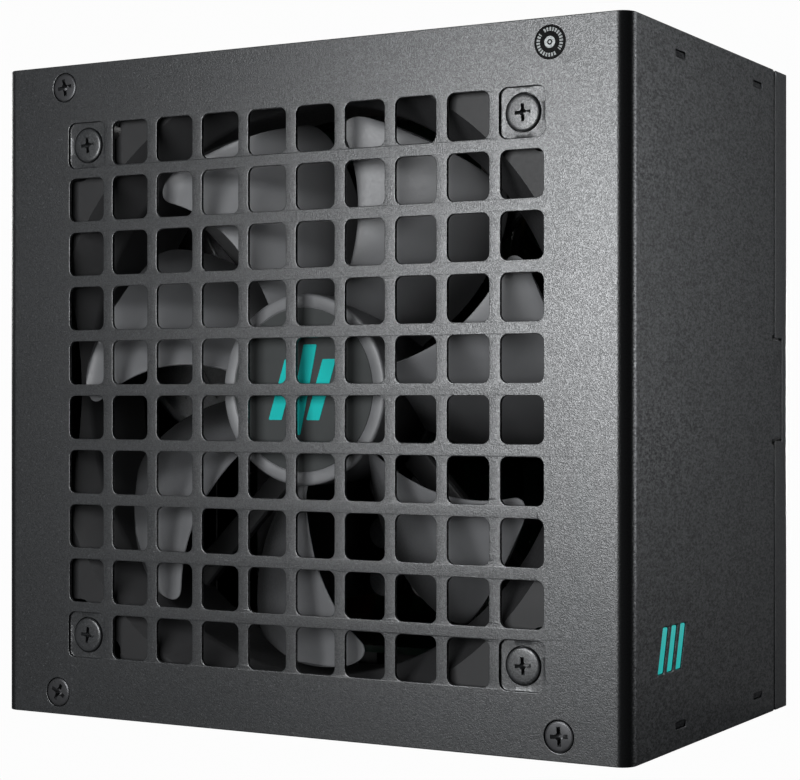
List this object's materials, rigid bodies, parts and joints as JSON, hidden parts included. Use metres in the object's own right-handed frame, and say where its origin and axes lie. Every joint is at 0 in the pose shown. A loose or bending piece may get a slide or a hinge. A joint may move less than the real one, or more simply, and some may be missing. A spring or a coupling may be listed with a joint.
{
  "type": "computer power supply unit",
  "caption": "Modular ATX power supply in a folded steel case with a square-hole grille over a large fan, mains inlet, rocker switch and cable sockets.",
  "frame": {"origin": "middle of the cable end, which it stands on", "axes": "+Z from the cable end to the mains end, -Y out of the fan grille, +Y out of the base plate, X across the 150 mm width"},
  "size_m": [0.1501, 0.0862, 0.1457],
  "materials": {
    "powder_coat": "fine-grain matt black powder coat",
    "black_screw": "black zinc, satin",
    "seal_black": "matt printed film",
    "teal": "teal print",
    "label_foil": "satin foil label",
    "black_film": "black polyester film",
    "black_nylon": "moulded black nylon",
    "contact_brass": "tinned brass",
    "rocker_black": "semi-gloss black",
    "natural_nylon": "natural nylon",
    "copper": "bare or enamelled copper",
    "circuit_board": "green solder mask on glass laminate",
    "black_wire": "PVC insulation",
    "green_wire": "green insulation",
    "zinc_screw": "zinc plated",
    "fan_plastic": "glass-filled black plastic",
    "impeller_plastic": "semi-gloss dark grey plastic",
    "hub_label": "matt printed film",
    "yoke_steel": "drawn steel",
    "magnet": "bonded ferrite",
    "bright_steel": "ground steel",
    "bronze": "sintered bronze",
    "core_steel": "laminated steel",
    "brass_stud": "brass",
    "capacitor_sleeve": "shrink sleeve",
    "heatsink": "extruded",
    "epoxy_black": "epoxy",
    "choke_core": "painted ferrite",
    "film_yellow": "moulded film capacitor",
    "fuse_ceramic": "ceramic tube",
    "ferrite": "sintered ferrite",
    "winding_tape": "polyester tape"
  },
  "bodies": {
    "root": {"cover": "powder_coat", "chassis_base": "powder_coat", "cover_screws": "black_screw", "seal_sticker": "seal_black", "side_badge": "teal", "rating_label": "label_foil", "insulating_sheet": "black_film", "inlet_housing": "black_nylon", "inlet_pins": "contact_brass", "inlet_screws": "black_screw", "switch_housing": "black_nylon", "switch_terminals": "contact_brass", "emi_board": "circuit_board", "mains_wires": "black_wire", "ground_wire": "green_wire", "ground_screw": "zinc_screw", "fan_frame": "fan_plastic", "bearing_sleeve": "bronze", "stator_core": "core_steel", "stator_windings": "copper", "fan_motor_board": "circuit_board", "fan_screws": "black_screw", "fan_cable": "black_wire", "fan_connector": "natural_nylon", "main_board": "circuit_board", "board_standoffs": "brass_stud", "board_screws": "zinc_screw", "bulk_capacitors": "capacitor_sleeve", "primary_heatsink": "heatsink", "primary_transistors": "epoxy_black", "bridge_rectifier": "epoxy_black", "pfc_choke_core": "choke_core", "pfc_choke_winding": "copper", "choke_cores": "choke_core", "choke_windings": "copper", "film_capacitors": "film_yellow", "fuse": "fuse_ceramic", "transformer_core": "ferrite", "transformer_winding": "winding_tape", "standby_transformer": "ferrite", "secondary_heatsink": "heatsink", "output_capacitors": "capacitor_sleeve", "dc_dc_boards": "circuit_board", "controller_board": "circuit_board", "modular_board": "circuit_board", "modular_sockets": "black_nylon", "socket_pins": "contact_brass", "busbars": "copper"},
    "rotor": {"fan_impeller": "impeller_plastic", "hub_label": "hub_label", "hub_emblem": "teal", "rotor_yoke": "yoke_steel", "rotor_magnet": "magnet", "fan_shaft": "bright_steel", "shaft_clip": "natural_nylon"},
    "rocker": {"switch_rocker": "rocker_black", "switch_plungers": "natural_nylon"},
    "contact_lever": {"switch_contact_levers": "copper"}
  },
  "joints": [
    {"name": "fan_spin", "type": "hinge", "parent": "root", "child": "rotor", "pos_m": [0, -0.03, 0.07], "axis": [0, -1, 0], "continuous": true},
    {"name": "mains_switch", "type": "hinge", "parent": "root", "child": "rocker", "pos_m": [0.024, 0.008, 0.1406], "axis": [-1, 0, 0], "range_deg": [0, 24]},
    {"name": "switch_contacts", "type": "hinge", "parent": "root", "child": "contact_lever", "pos_m": [0.024, 0.008, 0.132], "axis": [-1, 0, 0], "range_deg": [-12.5, 0.5]}
  ],
  "couplings": [
    {"joint": "switch_contacts", "follows": "mains_switch", "ratio": -0.5}
  ]
}
